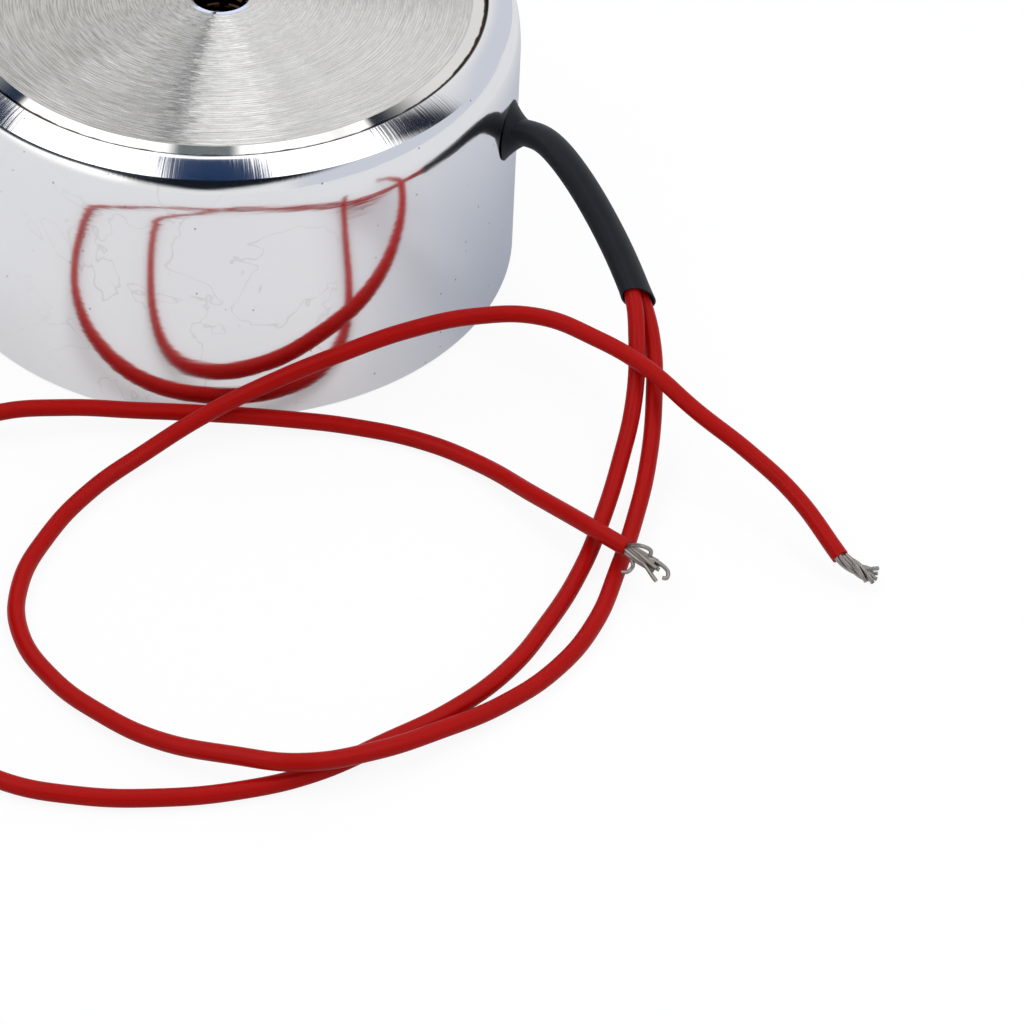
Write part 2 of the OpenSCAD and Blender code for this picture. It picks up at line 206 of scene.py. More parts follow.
# %% [markdown]
# ## Tools for materials
# Colours are written as sRGB hex values, as a paint chart gives them, and one function turns them to
# the linear values that shaders use. One more function adds a node, sets it and links it in a single
# call.

# %% Material tools
def linear(hex_colour):
    """An sRGB hex colour as linear RGBA."""
    parts = [int(hex_colour[i:i + 2], 16) / 255 for i in (1, 3, 5)]
    return (*[c / 12.92 if c <= 0.04045 else ((c + 0.055) / 1.055) ** 2.4 for c in parts], 1)


def add(tree, kind, inputs=None, **settings):
    """A node with its settings; inputs hold a value or the socket that feeds it."""
    made = tree.nodes.new("ShaderNode" + kind)
    for key, value in settings.items():
        setattr(made, key, value)
    for socket, value in (inputs or {}).items():
        if isinstance(value, bpy.types.NodeSocket):
            tree.links.new(value, made.inputs[socket])
        else:
            made.inputs[socket].default_value = value
    return made


def new_material(name):
    """An empty node material with its output; returns the material, its tree and the output."""
    made = bpy.data.materials.new(name)
    made.use_nodes = True
    made.node_tree.nodes.clear()
    return made, made.node_tree, add(made.node_tree, "OutputMaterial")


def finish_surface(tree, output, **inputs):
    """The one shader of a material."""
    names = {key.replace("_", " "): value for key, value in inputs.items()}
    shader = add(tree, "BsdfPrincipled", names)
    tree.links.new(shader.outputs["BSDF"], output.inputs["Surface"])


def mottled(name, dark, light, spacing, **surface):
    """A finish whose colour drifts between two tones, with the spacing of the patches in mm."""
    made, tree, out = new_material(name)
    places = add(tree, "TexCoord")
    drift = add(tree, "TexNoise", {"Vector": places.outputs["Object"], "Scale": 1 / (spacing * MM),
                                   "Detail": 3})
    tone = add(tree, "Mix", {"Factor": drift.outputs["Fac"], "A": linear(dark), "B": linear(light)},
               data_type="RGBA")
    finish_surface(tree, out, Base_Color=tone.outputs["Result"], **surface)
    print("material:", made.name)
    return made


print("a middle grey in linear light:", [round(c, 3) for c in linear("#808080")])

# %% [markdown]
# ## Red PVC
# The leads' cover is soft PVC, coloured right through and drawn through a die, so it is smooth with a
# dull shine. Handling leaves faint lighter and darker lengths, which one wide noise gives.

# %% Red PVC
# Handling marks are about 6 mm apart along the lead.
red_pvc = mottled("red_pvc_extruded", "#B60804", "#C80D07", 6.25, Roughness=0.38, IOR=1.5,
                  Specular_IOR_Level=0.14)
for lead in leads.values():
    lead.data.materials.append(red_pvc)

# %% [markdown]
# ## Bright plated steel
# The pot is low carbon steel with a bright plating, almost a mirror. It gives the eye clear reflections
# with streaky edges from the polishing, and up close dried water marks, tiny specks and a seam darkened
# by painted shade and dirt.

# %% Plated steel
# Where the blue-black band of painted shade and dirt along the seam ends, and the width of its soft edge.
SEAM_SHADE_AND_DIRT = 22.24 * MM
SEAM_SHADE_AND_DIRT_EDGE = 0.1 * MM
RIM_BOTTOM = 23.6 * MM
RIM_BLEND = 0.3 * MM
# Streaks per radian round the axis and per metre of height, and their detail. They run down the rim's
# section, 0.2 mm apart and 3 mm long, but round the wall, 0.4 mm apart.
STREAKS = {"rim": (120, 330, 3), "wall": (9, 2600, 2)}
WALL_STREAK_SHARE = 0.8
POLISH_DEPTH = 0.006 * MM
WATER_SCALE = 140
WATER_LINE = 0.009
WATER_STRENGTH = 0.22
SPLASH_PLACE = Vector((-3, -24.8, 11)) * MM
SPLASH_REACH = (9 * MM, 17 * MM)
SPECK_SCALE = 900
SPECK_EDGE = (0.04, 0.11)
SPECK_STRENGTH = 0.7
SPECK_LEAST = 0.7
plated, tree, out = new_material("bright_plated_steel")
spot = add(tree, "TexCoord").outputs["Object"]
flat = add(tree, "VectorMath", {0: spot, 1: (1, 1, 0)}, operation="MULTIPLY").outputs[0]
reach = add(tree, "VectorMath", {0: flat}, operation="LENGTH").outputs["Value"]
heading = add(tree, "VectorMath", {0: flat}, operation="NORMALIZE").outputs[0]
level = add(tree, "SeparateXYZ", {0: spot}).outputs["Z"]
streaks = {}
for zone, (per_radian, per_metre, detail) in STREAKS.items():
    way = add(tree, "VectorMath", {0: heading, 1: (per_radian, per_radian, 0)}, operation="MULTIPLY")
    up = add(tree, "VectorMath", {0: spot, 1: (0, 0, per_metre)}, operation="MULTIPLY")
    place = add(tree, "VectorMath", {0: way.outputs[0], 1: up.outputs[0]}, operation="ADD")
    noise = add(tree, "TexNoise", {"Vector": place.outputs[0], "Scale": 1.0, "Detail": detail})
    streaks[zone] = noise.outputs["Fac"]
on_rim = add(tree, "MapRange", {"Value": level, "From Min": RIM_BOTTOM, "From Max": RIM_BOTTOM + RIM_BLEND})
wall_height = add(tree, "Math", {0: streaks["wall"], 1: WALL_STREAK_SHARE}, operation="MULTIPLY")
height = add(tree, "Mix", {"Factor": on_rim.outputs[0], "A": wall_height.outputs[0], "B": streaks["rim"]},
             data_type="FLOAT")
polish = add(tree, "Bump", {"Height": height.outputs["Result"], "Distance": POLISH_DEPTH})
# Water marks dry from drops of some 7 mm and leave a thin outline, most of them on the front.
water = add(tree, "TexNoise", {"Vector": spot, "Scale": WATER_SCALE, "Detail": 3, "Distortion": 0.6})
near_level = add(tree, "Math", {0: water.outputs["Fac"], 1: 0.5}, operation="SUBTRACT")
off = add(tree, "Math", {0: near_level.outputs[0]}, operation="ABSOLUTE")
outline = add(tree, "MapRange", {"Value": off.outputs[0], "From Max": WATER_LINE,
                                 "To Min": WATER_STRENGTH, "To Max": 0.0})
splash = add(tree, "VectorMath", {0: spot, 1: SPLASH_PLACE}, operation="DISTANCE")
kept = add(tree, "MapRange", {"Value": splash.outputs["Value"], "From Min": SPLASH_REACH[0],
                              "From Max": SPLASH_REACH[1], "To Min": 1.0, "To Max": 0.0})
mark = add(tree, "Math", {0: outline.outputs[0], 1: kept.outputs[0]}, operation="MULTIPLY")
tint = add(tree, "Mix", {"Factor": mark.outputs[0], "A": linear("#F6F6F8"), "B": linear("#A79A98")},
           data_type="RGBA")
# Specks up to 0.2 mm across lie some 4 mm apart, where a chosen cell's centre is in the surface.
cells = add(tree, "TexVoronoi", {"Vector": spot, "Scale": SPECK_SCALE})
near = add(tree, "MapRange", {"Value": cells.outputs["Distance"], "From Min": SPECK_EDGE[0],
                              "From Max": SPECK_EDGE[1], "To Min": SPECK_STRENGTH, "To Max": 0.0})
chosen = add(tree, "SeparateColor", {0: cells.outputs["Color"]})
few = add(tree, "Math", {0: chosen.outputs[0], 1: SPECK_LEAST}, operation="GREATER_THAN")
speck = add(tree, "Math", {0: near.outputs[0], 1: few.outputs[0]}, operation="MULTIPLY")
spotted = add(tree, "Mix", {"Factor": speck.outputs[0], "A": tint.outputs["Result"], "B": linear("#3A3A44")},
              data_type="RGBA")
# Painted shade of the gap and dirt darken the shell to blue-black along the seam round the back plate.
seam_shade_and_dirt = add(tree, "MapRange", {"Value": reach, "From Min": SEAM_SHADE_AND_DIRT - SEAM_SHADE_AND_DIRT_EDGE, "From Max": SEAM_SHADE_AND_DIRT,
                              "To Min": 1.0, "To Max": 0.0})
seam_shaded_and_dirty = add(tree, "Mix", {"Factor": seam_shade_and_dirt.outputs[0], "A": spotted.outputs["Result"], "B": linear("#262433")},
            data_type="RGBA")
finish_surface(tree, out, Base_Color=seam_shaded_and_dirty.outputs["Result"], Metallic=1.0, Roughness=0.1,
               Normal=polish.outputs[0])
print("material:", plated.name)

# %% [markdown]
# ## Turned steel
# The back plate and pole are turned steel. A lathe tool leaves fine rings, so light stretches across
# them into a fan, which an anisotropic shader with a tangent round the axis gives. The bevel at the
# seam is smooth and bright, the deeper rings carry painted shade, most on the left, and the tapped
# hole is dark brown inside.

# %% Turned steel
RING_PITCH = 0.28 * MM
STEEP_SHARE = 0.3
STEEP_BLEND = 0.1
STEEP_SLOPE = 0.09
GENTLE_SLOPE = 0.04
RING_DEPTHS = (0.3, 1.5)
RING_WAYS = 2.5
DASH_WAYS = 14
LEAN_OUT = 0.12
LEAN_ROUND = 0.02
FEED_PITCH = 0.05 * MM
FEED_SLOPE = 0.16
FLAT_RADIUS = 20.9 * MM
MOUTH_EDGE = 3.02 * MM
# Where the dark brown inside the tapped hole starts to fade, and where it ends.
HOLE_COLOUR_EDGE = (2.42 * MM, 2.5 * MM)
SMOOTH_ROUGHNESS = 0.06
RINGED_ROUGHNESS = 0.12
# Painted shade in the rings: the scale of its noise, and its least share, on the right of the plate.
RING_SHADE_SCALE = 3.0
RING_SHADE_LEAST = 0.25
RAGGED_SCALE = 900
RAGGED_REACH = 0.25 * MM
PLATE_DIRT = 21.86 * MM
turned, tree, out = new_material("mild_steel_turned")
spot = add(tree, "TexCoord").outputs["Object"]
flat = add(tree, "VectorMath", {0: spot, 1: (1, 1, 0)}, operation="MULTIPLY").outputs[0]
reach = add(tree, "VectorMath", {0: flat}, operation="LENGTH").outputs["Value"]
heading = add(tree, "VectorMath", {0: flat}, operation="NORMALIZE").outputs[0]
along_ring = add(tree, "VectorMath", {0: heading, 1: (0, 0, 1)}, operation="CROSS_PRODUCT").outputs[0]
# Each ring has a gentle side that faces out and a steep one that faces in, as the tool's nose leaves it.
turns = add(tree, "Math", {0: reach, 1: 1 / RING_PITCH}, operation="MULTIPLY").outputs[0]
saw = add(tree, "Math", {0: turns}, operation="FRACT")
slope = add(tree, "MapRange", {"Value": saw.outputs[0], "From Min": STEEP_SHARE - STEEP_BLEND,
                               "From Max": STEEP_SHARE + STEEP_BLEND,
                               "To Min": -STEEP_SLOPE, "To Max": GENTLE_SLOPE})
# Some rings are cut deeper than others, and each one over only a part of its round.
ring_up = add(tree, "CombineXYZ", {"Z": turns}).outputs[0]
long_way = add(tree, "VectorMath", {0: heading, 1: (RING_WAYS, RING_WAYS, 0)}, operation="MULTIPLY")
ring_place = add(tree, "VectorMath", {0: long_way.outputs[0], 1: ring_up}, operation="ADD").outputs[0]
ring_noise = add(tree, "TexNoise", {"Vector": ring_place, "Scale": 0.7, "Detail": 2})
deep = add(tree, "MapRange", {"Value": ring_noise.outputs["Fac"], "From Min": 0.3, "From Max": 0.7,
                              "To Min": RING_DEPTHS[0], "To Max": RING_DEPTHS[1]})
ring_slope = add(tree, "Math", {0: slope.outputs[0], 1: deep.outputs[0]}, operation="MULTIPLY")
# Chatter breaks the rings into dashes about 1 mm long, which lean a little both ways.
short_way = add(tree, "VectorMath", {0: heading, 1: (DASH_WAYS, DASH_WAYS, 0)}, operation="MULTIPLY")
dash_place = add(tree, "VectorMath", {0: short_way.outputs[0], 1: ring_up}, operation="ADD")
dashes = add(tree, "TexNoise", {"Vector": dash_place.outputs[0], "Scale": 1.0, "Detail": 2})
lean = add(tree, "SeparateColor", {0: dashes.outputs["Color"]})
lean_out = add(tree, "MapRange", {"Value": lean.outputs[0], "To Min": -LEAN_OUT, "To Max": LEAN_OUT})
lean_round = add(tree, "MapRange", {"Value": lean.outputs[1], "To Min": -LEAN_ROUND, "To Max": LEAN_ROUND})
dash_slope = add(tree, "Math", {0: ring_slope.outputs[0], 1: lean_out.outputs[0]}, operation="ADD")
# The tool's feed is too fine to show ring by ring, but its slopes spread the light along the radius.
feed_turns = add(tree, "Math", {0: reach, 1: 1 / FEED_PITCH}, operation="MULTIPLY")
feed = add(tree, "TexNoise", {"W": feed_turns.outputs[0], "Scale": 1.0, "Detail": 1}, noise_dimensions="1D")
feed_slope = add(tree, "MapRange", {"Value": feed.outputs["Fac"], "From Min": 0.25, "From Max": 0.75,
                                    "To Min": -FEED_SLOPE, "To Max": FEED_SLOPE})
full_slope = add(tree, "Math", {0: dash_slope.outputs[0], 1: feed_slope.outputs[0]}, operation="ADD")
tilt_out = add(tree, "VectorMath", {0: heading, "Scale": full_slope.outputs[0]}, operation="SCALE")
tilt_round = add(tree, "VectorMath", {0: along_ring, "Scale": lean_round.outputs[0]}, operation="SCALE")
both_tilts = add(tree, "VectorMath", {0: tilt_out.outputs[0], 1: tilt_round.outputs[0]}, operation="ADD")
# The bevel at the seam and the mouth of the hole are smooth.
past_bevel = add(tree, "Math", {0: reach, 1: FLAT_RADIUS}, operation="LESS_THAN")
past_mouth = add(tree, "Math", {0: reach, 1: MOUTH_EDGE}, operation="GREATER_THAN")
on_flat = add(tree, "Math", {0: past_bevel.outputs[0], 1: past_mouth.outputs[0]}, operation="MULTIPLY")
ringed = on_flat.outputs[0]
tilt = add(tree, "VectorMath", {0: both_tilts.outputs[0], "Scale": ringed}, operation="SCALE")
smooth = add(tree, "NewGeometry")
leaned = add(tree, "VectorMath", {0: smooth.outputs["Normal"], 1: tilt.outputs[0]}, operation="ADD")
surface = add(tree, "VectorMath", {0: leaned.outputs[0]}, operation="NORMALIZE")
rough = add(tree, "MapRange", {"Value": ringed, "To Min": SMOOTH_ROUGHNESS, "To Max": RINGED_ROUGHNESS})
# Painted shade: the deeper rings are painted grey, clearest on the left of the plate and fainter to the
# right.
lines = add(tree, "TexNoise", {"Vector": ring_place, "Scale": RING_SHADE_SCALE, "Detail": 2})
line = add(tree, "MapRange", {"Value": lines.outputs["Fac"], "From Min": 0.42, "From Max": 0.66})
leftward = add(tree, "VectorMath", {0: heading, 1: (-1, 0, 0)}, operation="DOT_PRODUCT")
left_shade = add(tree, "MapRange", {"Value": leftward.outputs["Value"], "From Min": -0.5, "From Max": 0.5,
                              "To Min": RING_SHADE_LEAST, "To Max": 1.0})
ring_shade = add(tree, "Math", {0: line.outputs[0], 1: left_shade.outputs[0]}, operation="MULTIPLY")
flat_ring_shade = add(tree, "Math", {0: ring_shade.outputs[0], 1: ringed}, operation="MULTIPLY")
ring_shaded = add(tree, "Mix", {"Factor": flat_ring_shade.outputs[0], "A": linear("#ECEBE8"), "B": linear("#C6C3BC")},
             data_type="RGBA")
# The inside of the tapped hole is coloured dark brown.
in_the_hole = add(tree, "MapRange", {"Value": reach, "From Min": HOLE_COLOUR_EDGE[0], "From Max": HOLE_COLOUR_EDGE[1],
                              "To Min": 1.0, "To Max": 0.0})
steel = add(tree, "Mix", {"Factor": in_the_hole.outputs[0], "A": ring_shaded.outputs["Result"], "B": linear("#38261B")},
            data_type="RGBA")
# Brown dirt in the seam reaches a ragged way up the bevel.
ragged = add(tree, "TexNoise", {"Vector": spot, "Scale": RAGGED_SCALE, "Detail": 2})
creep = add(tree, "Math", {0: ragged.outputs["Fac"], 1: RAGGED_REACH}, operation="MULTIPLY")
dirt_reach = add(tree, "Math", {0: reach, 1: creep.outputs[0]}, operation="ADD")
seam_shade_and_dirt = add(tree, "MapRange", {"Value": dirt_reach.outputs[0], "From Min": PLATE_DIRT,
                              "From Max": PLATE_DIRT + SEAM_SHADE_AND_DIRT_EDGE})
seam_shaded_and_dirty = add(tree, "Mix", {"Factor": seam_shade_and_dirt.outputs[0], "A": steel.outputs["Result"], "B": linear("#3B2C1C")},
            data_type="RGBA")
around = add(tree, "Tangent", direction_type="RADIAL", axis="Z")
# The light spreads across the rings, so the stretch is a quarter turn from the tangent.
finish_surface(tree, out, Base_Color=seam_shaded_and_dirty.outputs["Result"], Metallic=1.0, Roughness=rough.outputs[0],
               Anisotropic=0.98, Anisotropic_Rotation=0.25, Normal=surface.outputs[0],
               Tangent=around.outputs[0])
print("material:", turned.name)

# %% [markdown]
# ## Turned pieces
# The pot's wall and its back plate were cut on a lathe, so they are made as a lathe makes them: half of
# the section is drawn as a row of points and spun once round the axis.

# %% Lathe
def deselect():
    """Lets go of every piece."""
    bpy.ops.object.select_all(action="DESELECT")


def drawn_section(name, section):
    """Draws a closed outline of (radius, height) points in the XZ plane, point by point."""
    deselect()
    bpy.ops.mesh.primitive_plane_add(size=MM)
    piece = bpy.context.active_object
    piece.name = name
    piece.data.name = name
    bpy.ops.object.mode_set(mode="EDIT")
    bpy.ops.mesh.select_all(action="SELECT")
    bpy.ops.mesh.merge(type="CENTER")
    here = Vector((0, 0, 0))
    for count, (r, z) in enumerate([*section, section[0]]):
        step = Vector((r, 0, z)) - here
        if count == 0:
            bpy.ops.transform.translate(value=step)
        else:
            bpy.ops.mesh.extrude_region_move(TRANSFORM_OT_translate={"value": step})
        here = here + step
    bpy.ops.mesh.select_all(action="SELECT")
    return piece


def tidy_mesh(angle):
    """Merges doubles, turns the normals outward and smooths all but the edges above an angle."""
    bpy.ops.mesh.select_all(action="SELECT")
    bpy.ops.mesh.remove_doubles(threshold=0.002 * MM)
    bpy.ops.mesh.normals_make_consistent(inside=False)
    bpy.ops.object.mode_set(mode="OBJECT")
    bpy.ops.object.shade_smooth_by_angle(angle=math.radians(angle))


def turned_piece(name, section, steps=192, sharp=20):
    """Spins a closed section once round the Z axis; edges above the sharp angle stay crisp."""
    piece = drawn_section(name, section)
    bpy.ops.mesh.spin(steps=steps, angle=2 * math.pi, center=(0, 0, 0), axis=(0, 0, 1))
    tidy_mesh(sharp)
    return piece


def arc(centre, radius, start, stop, count):
    """Points along an arc in the section plane, with its angles in degrees."""
    angles = [math.radians(start + (stop - start) * i / count) for i in range(count + 1)]
    return [(centre[0] + radius * math.cos(a), centre[1] + radius * math.sin(a)) for a in angles]


def cut(piece, cutter):
    """Cuts one piece by another, which is then gone."""
    tool = piece.modifiers.new("cut", "BOOLEAN")
    tool.object = cutter
    tool.operation = "DIFFERENCE"
    tool.solver = "EXACT"
    deselect()
    bpy.context.view_layer.objects.active = piece
    bpy.ops.object.modifier_apply(modifier=tool.name)
    bpy.data.objects.remove(cutter)


def dress(piece, material, node):
    """Gives a finished piece its material and says what it stands for."""
    piece.data.materials.clear()
    piece.data.materials.append(material)
    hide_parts(node)
    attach(piece, BODY)
    print(piece.name, "faces:", len(piece.data.polygons))


print("the lathe is set up")

# %% [markdown]
# ## Shell
# The pot's wall is low carbon steel, turned and then plated. Its rim eases in, turns over a tighter
# shoulder to a crease and ends in a crowned band at the seam. Bevelling a cylinder would make one round
# only, so the section is drawn with arcs. The hole for the leads is drilled last, as in a workshop.

# %% Shell
SHELL_WALL = 3.5 * MM
RIM_WIDTH = 2.95 * MM
EASE_RADIUS = 13 * MM
EASE_ANGLE = 9
SHOULDER_RADIUS = 3.8 * MM
SHOULDER_ANGLE = 35.5
SEAM_ROUND = 0.15 * MM
CREASE_DROP = 0.85 * MM
CROWN_RADIUS = 6 * MM
EDGE_CHAMFER = 0.3 * MM
SEAT_HEIGHT = POT_HEIGHT - 6 * MM
LEAD_HOLE_RADIUS = 1.975 * MM
bore = POT_RADIUS - SHELL_WALL
seam = POT_RADIUS - RIM_WIDTH
ease_turn = math.radians(EASE_ANGLE)
turn = math.radians(SHOULDER_ANGLE)
ease_in = EASE_RADIUS * (1 - math.cos(ease_turn))
shoulder_in = SHOULDER_RADIUS * (math.cos(ease_turn) - math.cos(turn))
crease = Vector((POT_RADIUS - ease_in - shoulder_in, POT_HEIGHT - CREASE_DROP))
shoulder_centre = crease - SHOULDER_RADIUS * Vector((math.cos(turn), math.sin(turn)))
ease_way = Vector((math.cos(ease_turn), math.sin(ease_turn)))
ease_centre = shoulder_centre - (EASE_RADIUS - SHOULDER_RADIUS) * ease_way
seam_top = Vector((seam + SEAM_ROUND, POT_HEIGHT))
half = (seam_top - crease) / 2
sagitta = math.sqrt(CROWN_RADIUS ** 2 - half.length_squared)
crown_centre = crease + half + sagitta * Vector((-half.y, half.x)).normalized()
crown_angles = [math.degrees(math.atan2(*(p - crown_centre).yx)) for p in (crease, seam_top)]
shell_section = [(bore, EDGE_CHAMFER), (bore + EDGE_CHAMFER, 0), (POT_RADIUS - EDGE_CHAMFER, 0)]
shell_section += [(POT_RADIUS, EDGE_CHAMFER)]
shell_section += [(POT_RADIUS, EXIT_HEIGHT + k * LEAD_HOLE_RADIUS) for k in (-1.2, 1.2)]
shell_section += arc(ease_centre, EASE_RADIUS, 0, EASE_ANGLE, 10)
shell_section += arc(shoulder_centre, SHOULDER_RADIUS, EASE_ANGLE, SHOULDER_ANGLE, 14)[1:]
shell_section += arc(crown_centre, CROWN_RADIUS, *crown_angles, 14)[1:]
shell_section += arc((seam + SEAM_ROUND, POT_HEIGHT - SEAM_ROUND), SEAM_ROUND, 90, 180, 5)[1:]
shell_section += [(seam, SEAT_HEIGHT), (bore, SEAT_HEIGHT)]
shell = turned_piece("pot_shell", shell_section, 256)
deselect()
bpy.ops.mesh.primitive_cylinder_add(vertices=64, radius=LEAD_HOLE_RADIUS, depth=2 * SHELL_WALL,
                                    location=EXIT_POINT - SHELL_WALL / 2 * OUTWARD,
                                    rotation=(math.pi / 2, 0, EXIT_ANGLE + math.pi / 2))
cut(shell, bpy.context.active_object)
dress(shell, plated, "shell")

# %% [markdown]
# ## Back plate and pole
# Plate and pole are one turned piece on the real magnet, so they are one section here, where stacked
# cylinders would leave seams inside. A wide shallow bevel catches the light at the seam, and a
# countersink opens the hole.

# %% Back plate and pole
PLATE_RADIUS = 22 * MM
BEVEL = (1.1 * MM, 0.25 * MM)
POLE_RADIUS = 10.5 * MM
TAP_RADIUS = 2.1 * MM
THREAD_RADIUS = 2.5 * MM
MOUTH_RADIUS = 3 * MM
MOUTH_DEPTH = 0.2 * MM
THREAD_PITCH = 0.8 * MM
THREAD_TURNS = 13
TAP_DEPTH = 12 * MM
POINT_HEIGHT = 1.26 * MM
TOP = POT_HEIGHT
thread_end = TOP - THREAD_TURNS * THREAD_PITCH
mouth_slope = MOUTH_DEPTH / (MOUTH_RADIUS - TAP_RADIUS)
yoke_section = [
    (0, 0), (POLE_RADIUS - EDGE_CHAMFER, 0), (POLE_RADIUS, EDGE_CHAMFER), (POLE_RADIUS, SEAT_HEIGHT),
    (PLATE_RADIUS, SEAT_HEIGHT), (PLATE_RADIUS, TOP - BEVEL[1]), (PLATE_RADIUS - BEVEL[0], TOP),
    (MOUTH_RADIUS, TOP), (THREAD_RADIUS, TOP - mouth_slope * (MOUTH_RADIUS - THREAD_RADIUS)),
    (THREAD_RADIUS, thread_end), (TAP_RADIUS, thread_end), (TAP_RADIUS, TOP - TAP_DEPTH),
    (0, TOP - TAP_DEPTH - POINT_HEIGHT),
]
# The bevel leans by only 13 degrees, so a smaller angle keeps its edge crisp.
yoke = turned_piece("back_plate_and_pole", yoke_section, sharp=8)
print(yoke.name, "faces:", len(yoke.data.polygons))

# %% [markdown]
# ## Thread
# The hole is tapped for an M5 screw. A tap leaves one ridge that winds down the bore, so one tooth is
# drawn and wound by a screw modifier. A bump would look flat from so close. The countersink trims the
# first turn.

# %% Thread
THREAD_BURY = 0.05 * MM
THREAD_FLAT = 0.12 * MM
buried = THREAD_RADIUS + THREAD_BURY
middle = thread_end - THREAD_PITCH / 2
thread_section = [
    (buried, middle - 0.44 * THREAD_PITCH), (buried, middle + 0.44 * THREAD_PITCH),
    (TAP_RADIUS, middle + THREAD_FLAT / 2), (TAP_RADIUS, middle - THREAD_FLAT / 2),
]
thread = drawn_section("thread", thread_section)
bpy.ops.mesh.remove_doubles(threshold=0.002 * MM)
bpy.ops.object.mode_set(mode="OBJECT")
winding = thread.modifiers.new("winding", "SCREW")
winding.axis = "Z"
winding.screw_offset = THREAD_PITCH
winding.iterations = THREAD_TURNS + 1
winding.steps = 48
winding.render_steps = 48
bpy.ops.object.modifier_apply(modifier=winding.name)
bpy.ops.object.mode_set(mode="EDIT")
bpy.ops.mesh.select_all(action="SELECT")
bpy.ops.mesh.fill_holes(sides=8)
tidy_mesh(30)
countersink = turned_piece("countersink", [
    (0, TOP - mouth_slope * MOUTH_RADIUS), (2 * MOUTH_RADIUS, TOP + mouth_slope * MOUTH_RADIUS),
    (2 * MOUTH_RADIUS, TOP + 2 * MM), (0, TOP + 2 * MM),
], 96)
cut(thread, countersink)
deselect()
thread.select_set(True)
yoke.select_set(True)
bpy.context.view_layer.objects.active = yoke
bpy.ops.object.join()
dress(yoke, turned, "yoke_core")

# %% [markdown]
# ## Potting ring
# Resin is poured in at the working face and holds the coil. It climbs a little at both walls and sinks
# between them, which a flat ring would not show, so its section is a shallow curve.

# %% Resin
RESIN_LOW = 0.3 * MM
RESIN_HIGH = 3 * MM
RESIN_RISE = 0.22 * MM
RESIN_FIT = 0.02 * MM
inner = POLE_RADIUS + RESIN_FIT
outer = bore - RESIN_FIT
climb = [(i / 12, RESIN_LOW + RESIN_RISE * (1 - abs(2 * i / 12 - 1) ** 6)) for i in range(13)]
resin_section = [(inner + (outer - inner) * s, z) for s, z in climb]
resin_section += [(outer, RESIN_HIGH), (inner, RESIN_HIGH)]
resin = turned_piece("potting_ring", resin_section)
# Poured resin is glossy, with cloudy patches some 3 mm wide where its filler settled.
resin_black = mottled("black_epoxy_poured", "#161514", "#262523", 3, Roughness=0.25)
dress(resin, resin_black, "potting_resin")

# %% [markdown]
# ## Shrink sleeve
# A black tube is shrunk over both leads, so its oval section follows their path and turns with the
# pair. One oval ring is extruded along the path and turned at each step, because a bevelled curve would
# not keep the oval square to the pair. The mouth is cut at a slant and stands a little open.

# %% Sleeve
SLEEVE_HALF = (1.68 * MM, 0.97 * MM)
SLEEVE_WALL = 0.15 * MM
MOUTH_FLARE = 1.06
MOUTH_SLANT = math.radians(20)
MOUTH_REACH = 0.55 * MM
SLEEVE_SIDES = 48


def path_frame(points, i, sideways):
    """Rotation whose X lies along the sideways direction and whose Z follows the path."""
    along = tangent(points, i)
    across = squared(sideways, along)
    return Matrix((across, along.cross(across), along)).transposed()


def turn_ring(change, centre):
    """Turns the selected ring by a rotation matrix about a point, one axis at a time."""
    for axis, angle in zip("XYZ", change.to_euler("XYZ")):
        bpy.ops.transform.rotate(value=-angle, orient_axis=axis, orient_type="GLOBAL",
                                 center_override=centre)


deselect()
bpy.ops.mesh.primitive_circle_add(vertices=SLEEVE_SIDES, radius=1)
sleeve = bpy.context.active_object
sleeve.name = "shrink_sleeve"
bpy.ops.object.mode_set(mode="EDIT")
bpy.ops.mesh.select_all(action="SELECT")
bpy.ops.transform.resize(value=(*SLEEVE_HALF, 1))
bpy.ops.transform.translate(value=sleeve_line[0])
frames = [path_frame(sleeve_line, i, PAIR_DIRECTION) for i in range(RINGS + 1)]
turn_ring(frames[0], sleeve_line[0])
for i in range(1, RINGS + 1):
    bpy.ops.mesh.extrude_region_move(TRANSFORM_OT_translate={"value": sleeve_line[i] - sleeve_line[i - 1]})
    turn_ring(frames[i] @ frames[i - 1].transposed(), sleeve_line[i])
mouth_axes = frames[-1]
slant = mouth_axes @ Matrix.Rotation(-MOUTH_SLANT, 3, "Y") @ mouth_axes.transposed()
bpy.ops.transform.translate(value=MOUTH_REACH * mouth_axes.col[2])
mouth = sleeve_line[-1] + MOUTH_REACH * mouth_axes.col[2]
turn_ring(slant, mouth)
bpy.ops.transform.resize(value=(MOUTH_FLARE, MOUTH_FLARE, MOUTH_FLARE), center_override=mouth)
bpy.ops.object.mode_set(mode="OBJECT")
reached = [(v.co - mouth).dot(mouth_axes.col[2]) / MM for v in sleeve.data.vertices[-SLEEVE_SIDES:]]
print("sleeve mouth slants over mm:", round(max(reached) - min(reached), 2))
# Heat shrinking leaves the black sleeve satin, with faint greyer patches where it was rubbed.
black = mottled("black_polyolefin_shrunk", "#0C1018", "#161B25", 1.2, Roughness=0.5, Specular_IOR_Level=0.28)
thick = sleeve.modifiers.new("wall", "SOLIDIFY")
thick.thickness = SLEEVE_WALL
thick.offset = -1
bpy.ops.object.modifier_apply(modifier=thick.name)
bpy.ops.object.shade_smooth_by_angle(angle=math.radians(40))
dress(sleeve, black, "lead_sleeve")

# %% [markdown]
# ## Bushing
# A soft bushing lines the hole in the wall. Its thin lip lies on the wall, and a cone runs from there
# onto the sleeve. It goes from round to oval, which a lathe can't make, so its rings are extruded one
# after the other.

